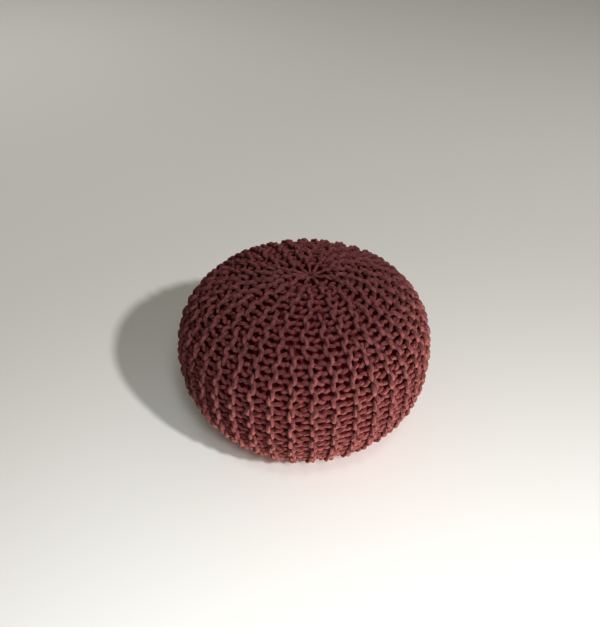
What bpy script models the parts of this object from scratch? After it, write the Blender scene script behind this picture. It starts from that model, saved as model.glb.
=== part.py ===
"""Knitted pouf: a round filled floor cushion with a sideways knitted cover, in metres, +Z up.

The origin is on the floor, under the middle of the base. The body is a turned profile, wider than high,
with its widest part a little above half of its height. The ridges of the knitting run from pole to pole
and are pressed into that body: every second ridge stops short of the crown and of the base, where the
cover is drawn together.
"""

import math

import bmesh
import bpy
import numpy as np

# Driving dimensions
RADIUS = 0.250  # to the crests of the ridges, at the widest part
RISE = 0.167  # from the widest part up to the rim of the crown
DROP = 0.196  # from the widest part down to the floor
UPPER_FULLNESS = 2.28  # exponent of the upper profile: 2 is an ellipse, more is squarer
LOWER_FULLNESS = 2.50
FOOT_RADIUS = 0.080  # flat spot that the pouf rests on

CROWN_SHIFT = 0.011  # the crown's gather sits this far to +X of the middle
CROWN_SHIFT_POWER = 1.5  # how fast that shift dies away down the sides
DIMPLE_DEPTH = 0.009  # the gather at the crown
DIMPLE_RADIUS = 0.030

RIDGES = 40  # at the widest part
GATHERED_RIDGES = 20  # those that reach the crown and the base
RIDGE_DEPTH = 0.007  # from crest to valley
SHORT_RIDGE_END = 0.085  # distance from the axis at which the short ridges stop
SHORT_RIDGE_FULL = 0.125  # and at which they stand as high as the others
GATHER_END = 0.022  # the long ridges fade out from here to the crown's middle
GATHER_FULL = 0.050
FOOT_FADE = 0.030  # all ridges fade out over this distance before the rim of the foot

SWELL = 0.0020  # soft unevenness of the filling
SWELL_PHASE = 0.6

COLUMNS_PER_RIDGE = 4
BANDS = 24  # rows of faces between the foot and the crown
FINE_STEPS = 400  # steps in which each half of the profile is first worked out
MERGE_DISTANCE = 0.0001

YARN_RED = (0.118, 0.031, 0.029, 1.0)  # deep brick red, linear
YARN_ROUGHNESS = 0.92


def clear_scene():
    for old in list(bpy.data.objects):
        bpy.data.objects.remove(old)


def cotton_yarn():
    """Matt cotton cord: no metal, very rough."""
    material = bpy.data.materials.new("cotton_yarn")
    material.use_nodes = True
    shader = material.node_tree.nodes["Principled BSDF"]
    shader.inputs["Base Color"].default_value = YARN_RED
    shader.inputs["Roughness"].default_value = YARN_ROUGHNESS
    shader.inputs["Metallic"].default_value = 0.0
    return material


def smooth_step(low, high, value):
    """0 below low, 1 above high and a soft slope between them."""
    share = min(max((value - low) / (high - low), 0.0), 1.0)
    return share * share * (3 - 2 * share)


def quarter(reach, fullness):
    """Points (radius, height) of a quarter of the profile, from the widest part to the axis."""
    turn = np.linspace(0, math.pi / 2, FINE_STEPS)
    radius = RADIUS * np.cos(turn).clip(0) ** (2 / fullness)
    height = reach * np.sin(turn).clip(0) ** (2 / fullness)
    return np.stack([radius, height], axis=1)


def lower_reach():
    """Depth of the lower quarter, of which the floor cuts off the tip and leaves the flat foot."""
    share = (1 - (FOOT_RADIUS / RADIUS) ** LOWER_FULLNESS) ** (1 / LOWER_FULLNESS)
    return DROP / share


def profile():
    """Points (radius, height) from the rim of the foot up to the crown, evenly spaced along the side."""
    lower = quarter(lower_reach(), LOWER_FULLNESS) * [1, -1] + [0, DROP]
    upper = quarter(RISE, UPPER_FULLNESS) + [0, DROP]
    lower = lower[lower[:, 0] > FOOT_RADIUS]
    outline = np.concatenate([[[FOOT_RADIUS, 0.0]], lower[::-1], upper[1:]])
    along = np.concatenate([[0], np.cumsum(np.hypot(*np.diff(outline, axis=0).T))])
    stops = np.linspace(0, along[-1], BANDS + 1)
    return [(np.interp(s, along, outline[:, 0]), np.interp(s, along, outline[:, 1])) for s in stops]


def ridge_relief(angle, radius, height):
    """How far the surface lies below the crests of the ridges at this place."""
    short_ridges = smooth_step(SHORT_RIDGE_END, SHORT_RIDGE_FULL, radius)
    fade = smooth_step(GATHER_END, GATHER_FULL, radius)
    if height < DROP:  # the foot's rim is round
        fade = smooth_step(FOOT_RADIUS, FOOT_RADIUS + FOOT_FADE, radius)
    every = (1 - math.cos(RIDGES * angle)) / 2
    gathered = (1 - math.cos(GATHERED_RIDGES * angle)) / 2
    return RIDGE_DEPTH * fade * (short_ridges * every + (1 - short_ridges) * gathered)


def turned_body(shape):
    """Spins the profile round the Z axis and closes the foot with a flat face."""
    points = [shape.verts.new((radius, 0, height)) for radius, height in profile()]
    edges = [shape.edges.new(pair) for pair in zip(points, points[1:])]
    bmesh.ops.spin(
        shape,
        geom=points + edges,
        cent=(0, 0, 0),
        axis=(0, 0, 1),
        angle=2 * math.pi,
        steps=RIDGES * COLUMNS_PER_RIDGE,
        use_merge=True,
    )
    bmesh.ops.remove_doubles(shape, verts=shape.verts, dist=MERGE_DISTANCE)
    rim = [edge for edge in shape.edges if edge.is_boundary]
    bmesh.ops.contextual_create(shape, geom=rim)
    bmesh.ops.recalc_face_normals(shape, faces=shape.faces)


def press_ridges(shape):
    """Sinks the valleys between the ridges and the dimple at the crown, and makes the filling uneven."""
    shape.normal_update()
    moves = []
    for vertex in shape.verts:
        radius = math.hypot(vertex.co.x, vertex.co.y)
        angle = math.atan2(vertex.co.y, vertex.co.x)
        height = vertex.co.z
        inward = -vertex.normal * ridge_relief(angle, radius, height)
        if height < MERGE_DISTANCE:  # the rim of the foot stays flat on the floor
            inward.z = 0
        swell = SWELL * math.cos(2 * angle + SWELL_PHASE) * math.sin(math.pi * height / (DROP + RISE))
        inward.x += swell * math.cos(angle)
        inward.y += swell * math.sin(angle)
        if height > DROP:
            inward.x += CROWN_SHIFT * (1 - min(radius / RADIUS, 1)) ** CROWN_SHIFT_POWER
            inward.z -= DIMPLE_DEPTH * math.exp(-((radius / DIMPLE_RADIUS) ** 2))
        moves.append((vertex, inward))
    for vertex, move in moves:
        vertex.co += move


def knitted_pouf():
    shape = bmesh.new()
    turned_body(shape)
    press_ridges(shape)
    mesh = bpy.data.meshes.new("knitted_pouf")
    shape.to_mesh(mesh)
    shape.free()
    mesh.materials.append(cotton_yarn())
    mesh.shade_smooth()
    pouf = bpy.data.objects.new("knitted_pouf", mesh)
    bpy.context.scene.collection.objects.link(pouf)
    return pouf


clear_scene()
knitted_pouf()
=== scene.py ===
import math

import bmesh
import bpy
import numpy as np
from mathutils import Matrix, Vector


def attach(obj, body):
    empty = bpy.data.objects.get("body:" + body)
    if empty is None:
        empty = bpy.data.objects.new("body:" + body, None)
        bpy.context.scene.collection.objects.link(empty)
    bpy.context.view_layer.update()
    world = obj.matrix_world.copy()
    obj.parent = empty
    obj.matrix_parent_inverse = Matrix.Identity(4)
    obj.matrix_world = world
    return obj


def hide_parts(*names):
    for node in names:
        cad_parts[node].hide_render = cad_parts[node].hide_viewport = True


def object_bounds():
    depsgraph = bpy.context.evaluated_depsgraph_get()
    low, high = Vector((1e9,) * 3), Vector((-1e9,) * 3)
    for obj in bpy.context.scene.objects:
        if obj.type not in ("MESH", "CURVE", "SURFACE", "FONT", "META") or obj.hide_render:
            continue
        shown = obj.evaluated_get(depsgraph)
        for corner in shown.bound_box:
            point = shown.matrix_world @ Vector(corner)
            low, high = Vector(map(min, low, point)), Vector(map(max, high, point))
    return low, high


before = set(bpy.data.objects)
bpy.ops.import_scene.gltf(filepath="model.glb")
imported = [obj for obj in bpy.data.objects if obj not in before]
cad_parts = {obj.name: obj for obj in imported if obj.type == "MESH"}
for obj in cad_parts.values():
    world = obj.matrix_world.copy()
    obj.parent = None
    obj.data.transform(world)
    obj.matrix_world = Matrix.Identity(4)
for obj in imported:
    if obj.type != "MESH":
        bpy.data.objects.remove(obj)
cadLow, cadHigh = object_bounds()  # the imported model's own box
sceneCollection = bpy.context.scene.collection
rng = np.random.default_rng(24)  # every unevenness comes out the same on each run


def hexToLinear(hexColour):
    # "#a0522d" as the linear colour that shaders work in, by the sRGB curve
    parts = [int(hexColour[i:i + 2], 16) / 255 for i in (1, 3, 5)]
    linear = [c / 12.92 if c <= 0.04045 else ((c + 0.055) / 1.055) ** 2.4 for c in parts]
    return (*linear, 1.0)


def addNode(tree, kind, links=None, **settings):
    # one node: sockets are set by name or number through links, all other settings are its own properties
    node = tree.nodes.new(kind)
    for key, value in settings.items():
        setattr(node, key, value)
    for socket, value in (links or {}).items():
        if isinstance(value, bpy.types.NodeSocket):
            tree.links.new(value, node.inputs[socket])
        else:
            node.inputs[socket].default_value = value
    return node


def smoothStep(low, high, value):
    share = np.clip((value - low) / (high - low), 0, 1)
    return share * share * (3 - 2 * share)


cameraSet = {
    "lookFrom": Vector((0.0, -1.0641, 1.0669)),  # 1.375 m from the pouf's middle, 39.3 degrees up
    "poufMiddle": Vector((0.0, 0.0, 0.196)),
    "aimAbove": 0.0494,  # the pouf sits a little low in the picture
    "aimLeft": 0.0085,
    "lens": 39.25,  # mm, on a 36 mm sensor along the long side
    "farthest": 200,
}


def makeCamera():
    camera = bpy.data.objects.new("camera", bpy.data.cameras.new("camera"))
    camera.data.lens = cameraSet["lens"]
    toPouf = (cameraSet["poufMiddle"] - cameraSet["lookFrom"]).normalized()
    right = toPouf.cross(Vector((0, 0, 1))).normalized()
    up = right.cross(toPouf)
    aim = cameraSet["poufMiddle"] + up * cameraSet["aimAbove"] - right * cameraSet["aimLeft"]
    camera.location = cameraSet["lookFrom"]
    camera.rotation_euler = (aim - cameraSet["lookFrom"]).to_track_quat("-Z", "Y").to_euler()
    camera.data.clip_end = cameraSet["farthest"]
    sceneCollection.objects.link(camera)
    bpy.context.scene.camera = camera


poufShape = {  # metres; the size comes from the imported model
    "radius": (cadHigh.x - cadLow.x + cadHigh.y - cadLow.y) / 4,
    "widestAt": 0.196,
    "crownRim": 0.0015,  # the crown stands this much over the box before its middle is drawn in
    "upperFullness": 2.28,  # 2 is an ellipse, more is squarer
    "lowerFullness": 2.50,
    "footRadius": 0.080,
    "crownLean": 0.011,  # the gather sits this far to the right
    "crownLeanPower": 1.5,
    "dimpleDepth": 0.006,
    "dimpleRadius": 0.030,
    "lump": 0.0016,
    "waves": (  # the filling's swell: share of a lump, times round, start, turn a metre down the side
        (1.0, 2, 0.6, 0),
        (0.6, 3, -1.1, 9),
        (0.5, 5, 2.0, -14),
        (0.35, 9, 0.0, 21),
    ),
    "shoulders": (  # where the filling pushes out: arc from the crown, degrees round, how far out
        (0.225, 47, 0.0065),
        (0.500, -103, 0.0030),
    ),
    "shoulderArc": 0.07,  # how wide such a place is: metres down the side, degrees round
    "shoulderTurn": 26,
    "lineSteps": 600,
}


def sideLine():
    # half a section: from the middle of the crown, down the side and under to the middle of the foot
    s = poufShape
    rise = cadHigh.z + s["crownRim"] - s["widestAt"]
    turn = np.linspace(0, math.pi / 2, s["lineSteps"])
    up, low = 2 / s["upperFullness"], 2 / s["lowerFullness"]
    drop = s["widestAt"] / (1 - (s["footRadius"] / s["radius"]) ** s["lowerFullness"]) ** (low / 2)
    upperRadius = s["radius"] * np.sin(turn) ** up
    upperHeight = s["widestAt"] + rise * np.cos(turn).clip(0) ** up
    upperHeight -= s["dimpleDepth"] * np.exp(-((upperRadius / s["dimpleRadius"]) ** 2))
    lowerRadius = s["radius"] * np.cos(turn).clip(0) ** low
    lowerHeight = s["widestAt"] - drop * np.sin(turn) ** low
    standing = lowerHeight > 0
    radius = np.concatenate([upperRadius, lowerRadius[standing][1:], [s["footRadius"], 0]])
    height = np.concatenate([upperHeight, lowerHeight[standing][1:], [0, 0]])
    along = np.concatenate([[0], np.cumsum(np.hypot(np.diff(radius), np.diff(height)))])
    even = np.linspace(0, along[-1], 2 * s["lineSteps"])
    radius, height = np.interp(even, along, radius), np.interp(even, along, height)
    slope = np.hypot(np.gradient(radius), np.gradient(height))
    return {
        "along": even,
        "radius": radius,
        "height": height,
        "outR": -np.gradient(height) / slope,
        "outZ": np.gradient(radius) / slope,
    }


line = sideLine()
lineLength = line["along"][-1]


def lumpiness(arc, angle):
    # the filling's soft unevenness, gone at both poles
    lump = np.zeros_like(arc)
    for share, timesRound, start, turn in poufShape["waves"]:
        lump = lump + poufShape["lump"] * share * np.cos(timesRound * angle + start + turn * arc)
    for atArc, degrees, out in poufShape["shoulders"]:
        around = np.angle(np.exp(1j * (angle - math.radians(degrees))))  # the shorter way round
        around = around / math.radians(poufShape["shoulderTurn"])
        down = (arc - atArc) / poufShape["shoulderArc"]
        lump = lump + out * np.exp(-around ** 2 - down ** 2)
    return lump * np.sin(math.pi * np.clip(arc / lineLength, 0, 1)) ** 2


def alongLine(arc, name):
    return np.interp(arc, line["along"], line[name])


def outwardAt(arc, angle):
    # the way straight out of the cover
    outR = alongLine(arc, "outR")
    return np.stack([outR * np.cos(angle), outR * np.sin(angle), alongLine(arc, "outZ")], axis=-1)


def coverPoint(arc, angle, out):
    # a place on the cover: how far down from the crown, which way round, how far out of its crests
    s = poufShape
    out = out + lumpiness(arc, angle)
    radius = alongLine(arc, "radius") + alongLine(arc, "outR") * out
    height = alongLine(arc, "height") + alongLine(arc, "outZ") * out
    lean = s["crownLean"] * (1 - np.clip(radius / s["radius"], 0, 1)) ** s["crownLeanPower"]
    lean = lean * (arc < lineLength / 2)
    return np.stack([radius * np.cos(angle) + lean, radius * np.sin(angle), height], axis=-1)


knit = {  # garter stitch in thick cord, worked sideways: its rows run from pole to pole
    "ridges": 40,
    "rowPlaces": (0.25, 0.75),  # a ridge's knit row and purl row, in ridge widths
    "stitches": 20,  # in a full row
    "gatherArc": 0.030,  # the full rows' last stitch ends this far from the pole
    "shortBy": (0, 5, 1, 3),  # stitches by which four neighbouring ridges stop short of the gather
    "narrowing": (-1.2, 1.8),  # stitches past its end between which a short ridge gets its full width
    "standing": (-0.7, 0.3),  # and between which its neighbours start to reach for it
    "turnBulge": 0.010,  # the loop in which a short ridge turns back
    "turnPoints": 10,
    "cord": 0.0084,  # its thickness
    "cordTaper": 0.72,  # the cord is pulled thin in the gathers, between these arcs from the pole
    "taperArc": (0.010, 0.060),
    "cordUneven": 0.06,  # share of its thickness, changing over this many points
    "cordUnevenEvery": 9,
    "lean": 0.18,  # how far the loops widen at head and foot, in stitches
    "reach": 0.70,  # how far a loop reaches to either side of its row, in rows
    "depth": 0.0048,  # in and out of the cloth
    "depthPeak": 0.0026,
    "leanUneven": 0.14,  # how much single loops differ
    "reachUneven": 0.06,
    "depthUneven": 0.07,
    "wander": 0.0020,  # metres up and down the side
    "uneven": 0.02,  # how much the ridges' widths differ, and how much more at the poles
    "unevenAtPole": 0.16,
    "poleArc": (0.22, 0.02),  # from the pole, where that starts and where it is full
    "shadedBelow": -0.0065,  # heights over the cloth's middle between which the cord's colour goes from painted shade, dark and deep red, to painted light, pale and dusty
    "litAbove": 0.006,
    "pointsPerStitch": 26,
    "samePlace": 1e-6,  # points closer than this are one
    "sides": 10,
    "pieces": 5,
    "patternApart": 10,  # metres of pattern between one cord and the next, so that no two share a stretch
    "bakeLengths": 4,  # lengths that a ridge's cord is cut into for baking, and the gap between them
    "bakeMargin": 0.06,
}
ridgeUneven = rng.normal(0, 1, knit["ridges"])
crestOut = knit["depth"] + knit["depthPeak"] + knit["cord"] / 2  # from the cloth's middle to its crests
stitchWidth = (lineLength - 2 * knit["gatherArc"]) / knit["stitches"]
rowCount = 2 * knit["ridges"]


def fromPole(arc):
    return np.minimum(arc, lineLength - arc)


def activeShare(arc, ridge, change):
    # 0 where this ridge has ended, 1 where it stands; the change lies so many stitches past its end
    short = knit["shortBy"][ridge % len(knit["shortBy"])]
    if short == 0:
        return np.ones_like(arc)
    end = knit["gatherArc"] + short * stitchWidth
    early, late = change
    return smoothStep(end + early * stitchWidth, end + late * stitchWidth, fromPole(arc))


def rowAngles(arc):
    # the angle of every row at these arcs; ridges grow narrow before they end
    shares = [activeShare(arc, ridge, knit["narrowing"]) for ridge in range(knit["ridges"])]
    width = np.stack(shares, axis=1)
    nearPole = smoothStep(*knit["poleArc"], fromPole(arc))
    width = width * (1 + ridgeUneven * (knit["uneven"] + knit["unevenAtPole"] * nearPole)[:, None])
    edge = 2 * math.pi * np.cumsum(width, axis=1) / width.sum(axis=1, keepdims=True)
    width = 2 * math.pi * width / width.sum(axis=1, keepdims=True)
    start = edge - width
    rows = np.stack([start + place * width for place in knit["rowPlaces"]], axis=2)
    return rows.reshape(len(arc), rowCount)


def rowStep(arc, row, way):
    # angle from this row to the next one that still stands there, on the way given
    angles = rowAngles(arc)
    distance = np.zeros_like(arc)
    reachRows = 2 * len(knit["shortBy"])
    for n in range(reachRows, 0, -1):
        other = row + way * n
        turns, index = divmod(other, rowCount)
        apart = angles[:, index] + 2 * math.pi * turns - angles[:, row]
        stands = activeShare(arc, index // 2, knit["standing"])
        distance = apart if n == reachRows else stands * apart + (1 - stands) * distance
    return np.abs(distance)


def softNoise(count, every, size):
    # a seeded random line that changes over this many steps
    knots = rng.normal(0, size, count // every + 3)
    return np.interp(np.arange(count) / every, np.arange(len(knots)), knots)


def loopRow(row, turn):
    # one row of loops as arc, angle and height over the cloth's middle; turn grows by 2 pi in each stitch
    count = len(turn)
    perStitch = knit["pointsPerStitch"]
    side = 1 if row % 2 == 0 else -1  # knit rows bring their heads out, purl rows their feet
    lean = knit["lean"] * (1 + softNoise(count, perStitch, knit["leanUneven"]))
    reach = knit["reach"] * (1 + softNoise(count, perStitch, knit["reachUneven"]))
    depth = knit["depth"] * (1 + softNoise(count, perStitch, knit["depthUneven"]))
    arc = knit["gatherArc"] + stitchWidth * (turn / (2 * math.pi) + lean * np.sin(2 * turn))
    arc = arc + softNoise(count, perStitch, knit["wander"])
    across = -reach * np.cos(turn)
    spread = np.where(across > 0, rowStep(arc, row, 1), rowStep(arc, row, -1))
    angle = rowAngles(arc)[:, row] + across * spread
    height = -side * (depth * np.cos(turn) + knit["depthPeak"] * np.cos(3 * turn))
    return np.stack([arc, angle, height], axis=1)


def throughPoints(points, perSpan):
    # a smooth line through given points (Catmull-Rom), without its first point
    points = np.array(points, float)
    ends = np.concatenate([[2 * points[0] - points[1]], points, [2 * points[-1] - points[-2]]])
    made = []
    for a, b, c, d in zip(ends, ends[1:], ends[2:], ends[3:]):
        for share in np.arange(1, perSpan + 1) / perSpan:
            bend = 2 * a - 5 * b + 4 * c - d + (3 * b - a - 3 * c + d) * share
            made.append(b + 0.5 * share * (c - a + share * bend))
    return np.array(made)


def shortTurn(start, end, outward):
    # the cord turns back at the end of a short ridge: half an ellipse from one row's end to the other's
    phase = np.linspace(0, math.pi, knit["turnPoints"])[1:-1]
    share = (1 - np.cos(phase)) / 2
    path = start + (end - start) * share[:, None]
    path[:, 0] += outward * knit["turnBulge"] * np.sin(phase)
    return path


spokes = {  # the last straight stitch into a gather: arc from the pole and height over the cloth's middle
    "outer": (
        (0.0210, 0.0050), (0.0140, 0.0046), (0.0085, 0.0034), (0.0050, -0.0004), (0.0040, -0.0090),
    ),
    "inner": (
        (0.0210, -0.0045), (0.0150, -0.0020), (0.0095, -0.0020), (0.0060, -0.0060), (0.0048, -0.0140),
    ),
    "pointsPerSpan": 3,
    "wander": 0.03,  # to either side, as an angle
}


def spoke(start, kind, atCrown):
    points = [tuple(start)]
    for arc, height in spokes[kind]:
        place = arc if atCrown else lineLength - arc
        points.append((place, start[1] + rng.normal(0, spokes["wander"]), height))
    return throughPoints(points, spokes["pointsPerSpan"])


def ridgePath(ridge):
    # the cord of one ridge: down its knit row, back up its purl row, closed at both ends
    short = knit["shortBy"][ridge % len(knit["shortBy"])]
    stitches = knit["stitches"] - 2 * short
    perStitch = knit["pointsPerStitch"]
    turn = 2 * math.pi * (short + np.arange(stitches * perStitch + 1) / perStitch)
    down = loopRow(2 * ridge, turn)
    back = loopRow(2 * ridge + 1, turn)[::-1]
    if short:
        bottom = shortTurn(down[-1], back[0], 1)
        top = shortTurn(back[-1], down[0], -1)
    else:
        bottom = np.concatenate([spoke(down[-1], "inner", False), spoke(back[0], "outer", False)[::-1]])
        top = np.concatenate([spoke(back[-1], "outer", True), spoke(down[0], "inner", True)[::-1]])
    path = np.concatenate([down, bottom, back, top])
    moved = np.abs(np.diff(path, axis=0, append=path[:1])).sum(axis=1)
    return path[moved > knit["samePlace"]]


def cordMesh(path):
    # the cord as a bevelled closed curve made a mesh, and the length of cord up to each of its points
    places = coverPoint(path[:, 0], path[:, 1], path[:, 2] - crestOut)
    count = len(places)
    full = smoothStep(*knit["taperArc"], fromPole(path[:, 0]))
    thick = knit["cord"] / 2 * (knit["cordTaper"] + (1 - knit["cordTaper"]) * full)
    thick = thick * (1 + softNoise(count, knit["cordUnevenEvery"], knit["cordUneven"]))
    places[:, 2] = np.maximum(places[:, 2], thick)  # its own weight presses the foot flat
    curve = bpy.data.curves.new("cord", "CURVE")
    curve.dimensions = "3D"
    curve.bevel_depth = 1.0
    curve.bevel_resolution = knit["sides"] // 2 - 2  # which gives a ring of just so many sides
    spline = curve.splines.new("POLY")
    spline.points.add(count - 1)
    spline.points.foreach_set("co", np.column_stack([places, np.ones(count)]).ravel())
    spline.points.foreach_set("radius", thick)
    spline.use_cyclic_u = True
    holder = bpy.data.objects.new("cord", curve)
    sceneCollection.objects.link(holder)
    mesh = bpy.data.meshes.new_from_object(holder)
    bpy.data.objects.remove(holder)
    bpy.data.curves.remove(curve)
    ringSize = len(mesh.vertices) // count
    spots = np.empty(3 * len(mesh.vertices))
    mesh.vertices.foreach_get("co", spots)
    fromMiddle = spots.reshape(-1, 3) - np.repeat(places, ringSize, axis=0)
    outward = np.repeat(outwardAt(path[:, 0], path[:, 1]), ringSize, axis=0)
    height = np.repeat(path[:, 2], ringSize) + (fromMiddle * outward).sum(axis=1)
    # painted shade and light: 0 down in the stitches, where shade falls, 1 on the crests, where light
    # falls
    paintedShadeAndLight = mesh.attributes.new("crest", "FLOAT", "POINT")
    paintedShadeAndLight.data.foreach_set("value", smoothStep(knit["shadedBelow"], knit["litAbove"], height))
    steps = np.linalg.norm(np.diff(places, axis=0, append=places[:1]), axis=1)
    return mesh, np.concatenate([[0], np.cumsum(steps)])


def bakeMap(uv, ridge):
    # the skin of a ridge's cord cut into lengths and laid out one under the other, for baking
    lengths = knit["bakeLengths"]
    part = np.floor(uv[:, :, 0].mean(axis=1, keepdims=True) * lengths)
    rows = lengths * knit["ridges"] // knit["pieces"]
    row = (ridge * lengths + part) % rows
    margin = knit["bakeMargin"]
    laid = np.empty_like(uv)
    laid[:, :, 0] = margin / lengths + (1 - 2 * margin / lengths) * (uv[:, :, 0] * lengths - part)
    laid[:, :, 1] = (row + margin + (1 - 2 * margin) * uv[:, :, 1]) / rows
    return laid


def makeCover(material):
    covers = []
    perPiece = knit["ridges"] // knit["pieces"]
    for number in range(knit["pieces"]):
        shape = bmesh.new()
        for ridge in range(number * perPiece, (number + 1) * perPiece):
            mesh, length = cordMesh(ridgePath(ridge))
            uv = np.zeros(2 * len(mesh.loops))
            mesh.uv_layers[0].data.foreach_get("uv", uv)
            uv = uv.reshape(-1, 4, 2)  # every face has four corners
            mesh.uv_layers.new(name="OFBake").data.foreach_set("uv", bakeMap(uv, ridge).ravel())
            place = uv[:, :, 0] * (len(length) - 1)
            uv[:, :, 0] = np.interp(place, np.arange(len(length)), length)  # now in metres of cord
            uv[:, :, 0] += knit["patternApart"] * ridge
            mesh.uv_layers[0].data.foreach_set("uv", uv.ravel())
            mesh.uv_layers[0].name = "alongCord"
            shape.from_mesh(mesh)
            bpy.data.meshes.remove(mesh)
        mesh = bpy.data.meshes.new(f"knitted_cover_{number + 1}")
        shape.to_mesh(mesh)
        shape.free()
        mesh.shade_smooth()
        mesh.materials.append(material)
        cover = bpy.data.objects.new(mesh.name, mesh)
        sceneCollection.objects.link(cover)
        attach(cover, "root")
        covers.append(cover)
        print(cover.name, "triangles", 2 * len(mesh.polygons))
    return covers


filling = {
    "under": 0.018,  # how far it lies below the crests of the cover
    "merge": 1e-5,
    "voxel": 0.008,
    "pressure": 4.0,
    "frames": 20,
    "mostMove": 0.006,  # no point is pushed farther than this
    "leastMove": 1e-9,
}


def makeFilling(material):
    # the stuffed ball that the cover is drawn over: it only shows as the dark between the stitches
    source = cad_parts["knitted_pouf"]
    mesh = source.data.copy()
    mesh.name = "filled_body"
    mesh.materials.clear()
    body = bpy.data.objects.new("filled_body", mesh)
    sceneCollection.objects.link(body)
    shape = bmesh.new()
    shape.from_mesh(mesh)
    bmesh.ops.remove_doubles(shape, verts=shape.verts, dist=filling["merge"])
    shape.normal_update()
    for vertex, inward in [(v, v.normal * -filling["under"]) for v in shape.verts]:
        vertex.co += inward
    shape.to_mesh(mesh)
    shape.free()
    bpy.context.view_layer.objects.active = body
    body.select_set(True)
    remesh = body.modifiers.new("remesh", "REMESH")
    remesh.mode = "VOXEL"
    remesh.voxel_size = filling["voxel"]
    bpy.ops.object.modifier_apply(modifier=remesh.name)
    before = np.array([v.co for v in body.data.vertices])
    cloth = body.modifiers.new("cloth", "CLOTH")
    cloth.settings.use_pressure = True
    cloth.settings.uniform_pressure_force = filling["pressure"]
    cloth.settings.effector_weights.gravity = 0
    for number in range(1, filling["frames"] + 1):
        bpy.context.scene.frame_set(number)
    bpy.ops.object.modifier_apply(modifier=cloth.name)
    bpy.context.scene.frame_set(1)
    move = np.array([v.co for v in body.data.vertices]) - before
    far = np.linalg.norm(move, axis=1, keepdims=True)
    move *= np.minimum(1, filling["mostMove"] / np.maximum(far, filling["leastMove"]))
    body.data.vertices.foreach_set("co", (before + move).ravel())
    print("filling moved by at most", round(float(far.max()), 4))
    finer = body.modifiers.new("finer", "SUBSURF")
    finer.levels = finer.render_levels = 1
    bpy.ops.object.modifier_apply(modifier=finer.name)
    body.data.materials.append(material)
    body.data.shade_smooth()
    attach(body, "root")
    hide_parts("knitted_pouf")
    print("filled body, faces", len(body.data.polygons))
    return body


cordLook = {
    "deep": "#4b1519",  # painted shade and light by height: darker and deeper red down in the stitches, where shade falls, paler and dusty on the crests, where light falls
    "body": "#571f21",
    "crest": "#5c3333",
    "roughness": 0.95,
    "plies": 3,
    "lay": 0.024,  # metres of cord for one turn of its plies
    "fibre": 0.0016,  # real fibres are 0.02 mm: bundles are drawn this coarse so that they show
    "detail": 3.0,
    "patches": 150.0,  # a metre, so that the dye's patches are about 7 mm wide
    "fibreInDye": 0.5,
    "patchSpan": (0.5, 1.0),  # this span of both patterns together
    "dyeSpan": (0.55, 1.45),  # gives this strength of colour
    "fibreInBump": 0.8,  # beside the plies
    "bump": 0.8,
    "bumpDepth": 0.0009,
}


def cottonCord():
    # spun cotton cord, dyed through, loosely twisted: quite matt, with soft light on its fuzz; its colour
    # also carries painted shade down in the stitches and painted light on the crests
    material = bpy.data.materials.new("cottonCordWithPaintedShade")
    material.use_nodes = True
    tree = material.node_tree
    shader = tree.nodes["Principled BSDF"]
    shader.inputs["Roughness"].default_value = cordLook["roughness"]
    shader.inputs["Specular IOR Level"].default_value = 0.0
    along = addNode(tree, "ShaderNodeUVMap", uv_map="alongCord")
    parts = addNode(tree, "ShaderNodeSeparateXYZ", {0: along.outputs[0]})
    layTurns = addNode(tree, "ShaderNodeMath",
                       {0: parts.outputs[0], 1: 1 / cordLook["lay"]},
                       operation="MULTIPLY")
    plyTurns = addNode(tree, "ShaderNodeMath",
                       {0: parts.outputs[1], 1: cordLook["plies"], 2: layTurns.outputs[0]},
                       operation="MULTIPLY_ADD")
    phase = addNode(tree, "ShaderNodeMath", {0: plyTurns.outputs[0], 1: 2 * math.pi}, operation="MULTIPLY")
    wave = addNode(tree, "ShaderNodeMath", {0: phase.outputs[0]}, operation="SINE")
    place = addNode(tree, "ShaderNodeTexCoord").outputs["Object"]
    fibres = addNode(tree, "ShaderNodeTexNoise",
                     {"Vector": place, "Scale": 1 / cordLook["fibre"], "Detail": cordLook["detail"]})
    patches = addNode(tree, "ShaderNodeTexNoise",
                      {"Vector": place, "Scale": cordLook["patches"], "Detail": cordLook["detail"]})
    crest = addNode(tree, "ShaderNodeAttribute", attribute_name="crest")
    # the cord's colour by height: painted shade deep in the stitches, painted light on the crests
    paintedShadeRamp = addNode(tree, "ShaderNodeValToRGB", {0: crest.outputs["Fac"]})
    paintedShadeRamp.color_ramp.elements[0].color = hexToLinear(cordLook["deep"])
    paintedShadeRamp.color_ramp.elements[1].color = hexToLinear(cordLook["crest"])
    paintedShadeRamp.color_ramp.elements.new(0.5).color = hexToLinear(cordLook["body"])
    mottle = addNode(tree, "ShaderNodeMath",
                     {0: fibres.outputs["Fac"], 1: cordLook["fibreInDye"], 2: patches.outputs["Fac"]},
                     operation="MULTIPLY_ADD")
    fromLow, fromHigh = cordLook["patchSpan"]
    toLow, toHigh = cordLook["dyeSpan"]
    strength = addNode(tree, "ShaderNodeMapRange",
                       {"Value": mottle.outputs[0], "From Min": fromLow, "From Max": fromHigh,
                        "To Min": toLow, "To Max": toHigh})
    dyedAndShaded = addNode(tree, "ShaderNodeHueSaturation",
                   {"Color": paintedShadeRamp.outputs[0], "Value": strength.outputs[0]})
    tree.links.new(dyedAndShaded.outputs[0], shader.inputs["Base Color"])
    height = addNode(tree, "ShaderNodeMath",
                     {0: fibres.outputs["Fac"], 1: cordLook["fibreInBump"], 2: wave.outputs[0]},
                     operation="MULTIPLY_ADD")
    bump = addNode(tree, "ShaderNodeBump",
                   {"Height": height.outputs[0], "Strength": cordLook["bump"],
                    "Distance": cordLook["bumpDepth"]})
    tree.links.new(bump.outputs[0], shader.inputs["Normal"])
    return material


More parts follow.
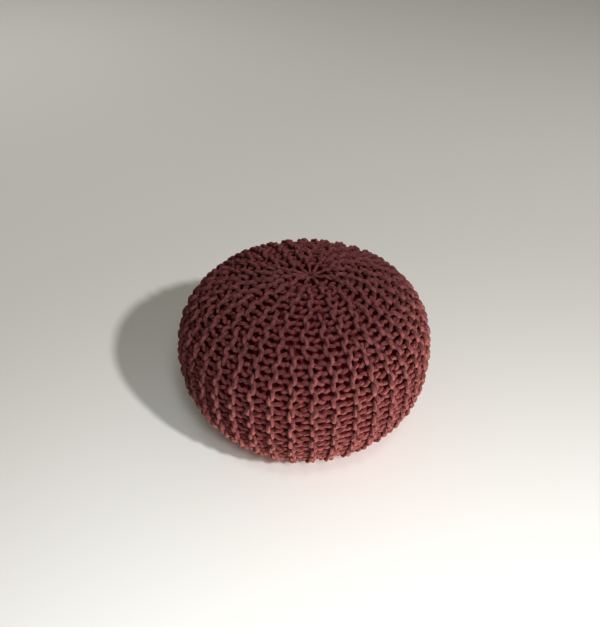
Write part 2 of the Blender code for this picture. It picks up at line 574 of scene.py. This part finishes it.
groundLook = {
    # painted shade: the filling is coloured as dark as the shade between the stitches
    "colour": "#3c090d",
    "roughness": 0.95,
}


def darkGround():
    # the same matt cotton behind the stitches, in painted shade: coloured dark as the shade deep between
    # the stitches, so the eye only gets dark red gaps from it
    material = bpy.data.materials.new("shadedCotton")
    material.use_nodes = True
    shader = material.node_tree.nodes["Principled BSDF"]
    shader.inputs["Roughness"].default_value = groundLook["roughness"]
    shader.inputs["Specular IOR Level"].default_value = 0.0
    shader.inputs["Base Color"].default_value = hexToLinear(groundLook["colour"])
    return material


studio = {
    "floorColour": "#e3e0dc",
    "floorRoughness": 0.8,
    "floorSize": 14.0,
    "floorSides": 96,
    "sky": "#e6e4d8",
    "skyStrength": 0.33,
    "lamps": {  # where each stands and what it shines at, its width and its power in watts
        "window": {
            "at": (3.92, -4.36, 5.03), "to": (-0.1, -0.9, 0.0), "width": 0.44, "power": 1680.0,
            "cone": 85.0,
        },
        "pool": {
            "at": (0.4, -1.9, 2.2), "to": (0.4, -1.7, 0.0), "width": 0.4, "power": 224.0,
            "cone": 95.0,
        },
        "nearPool": {
            "at": (0.3, -1.3, 2.4), "to": (0.35, -1.2, 0.0), "width": 0.4, "power": 72.0,
            "cone": 75.0, "colour": "#eafaff",
        },
        "farFloor": {
            "at": (-2.2, 2.6, 2.4), "to": (-1.9, 2.9, 0.0), "width": 0.8, "power": 50.0,
            "cone": 110.0,
        },
        "floorGlow": {  # what a bright floor throws up at the pouf
            "at": (0.98, -0.84, -0.72), "to": (0.0, 0.0, 0.12), "width": 1.5, "power": 163.0,
            "colour": "#f6fdea", "poufOnly": True,
        },
        "backFill": {
            "at": (0.6, 2.4, 0.9), "to": (0.0, 0.0, 0.2), "width": 1.6, "power": 90.0,
            "poufOnly": True,
        },
    },
}


poufOnly = bpy.data.collections.new("poufOnly")  # what the floor's glow and the fill fall on


def makeLamp(name, lamp):
    # a disk that shines one way, or a spot where the lamp has a cone
    light = bpy.data.lights.new(name, "SPOT" if "cone" in lamp else "AREA")
    light.energy = lamp["power"]
    light.color = hexToLinear(lamp.get("colour", "#ffffff"))[:3]
    if "cone" in lamp:
        light.spot_size = math.radians(lamp["cone"])
        light.spot_blend = 1.0
        light.shadow_soft_size = lamp["width"] / 2
    else:
        light.shape = "DISK"
        light.size = lamp["width"]
    holder = bpy.data.objects.new(name, light)
    holder.location = lamp["at"]
    holder.rotation_euler = (Vector(lamp["to"]) - Vector(lamp["at"])).to_track_quat("-Z", "Y").to_euler()
    sceneCollection.objects.link(holder)
    if lamp.get("poufOnly"):
        holder.light_linking.receiver_collection = poufOnly
        holder.light_linking.blocker_collection = poufOnly


def makeStudio():
    shape = bmesh.new()
    bmesh.ops.create_circle(shape, cap_ends=True, segments=studio["floorSides"],
                             radius=studio["floorSize"])
    mesh = bpy.data.meshes.new("floor")
    shape.to_mesh(mesh)
    shape.free()
    floor = bpy.data.objects.new("floor", mesh)
    sceneCollection.objects.link(floor)
    paint = bpy.data.materials.new("paleFloor")  # flat paint, warm white, with hardly any shine
    paint.use_nodes = True
    shader = paint.node_tree.nodes["Principled BSDF"]
    shader.inputs["Base Color"].default_value = hexToLinear(studio["floorColour"])
    shader.inputs["Roughness"].default_value = studio["floorRoughness"]
    mesh.materials.append(paint)
    for name, lamp in studio["lamps"].items():
        makeLamp(name, lamp)
    world = bpy.data.worlds.new("sky")
    world.use_nodes = True
    background = world.node_tree.nodes["Background"]
    background.inputs["Color"].default_value = hexToLinear(studio["sky"])
    background.inputs["Strength"].default_value = studio["skyStrength"]
    bpy.context.scene.world = world
    bpy.context.scene.view_settings.view_transform = "Standard"


makeCamera()
makeStudio()
print("camera, floor and light")
for piece in [makeFilling(darkGround()), *makeCover(cottonCord())]:
    poufOnly.objects.link(piece)
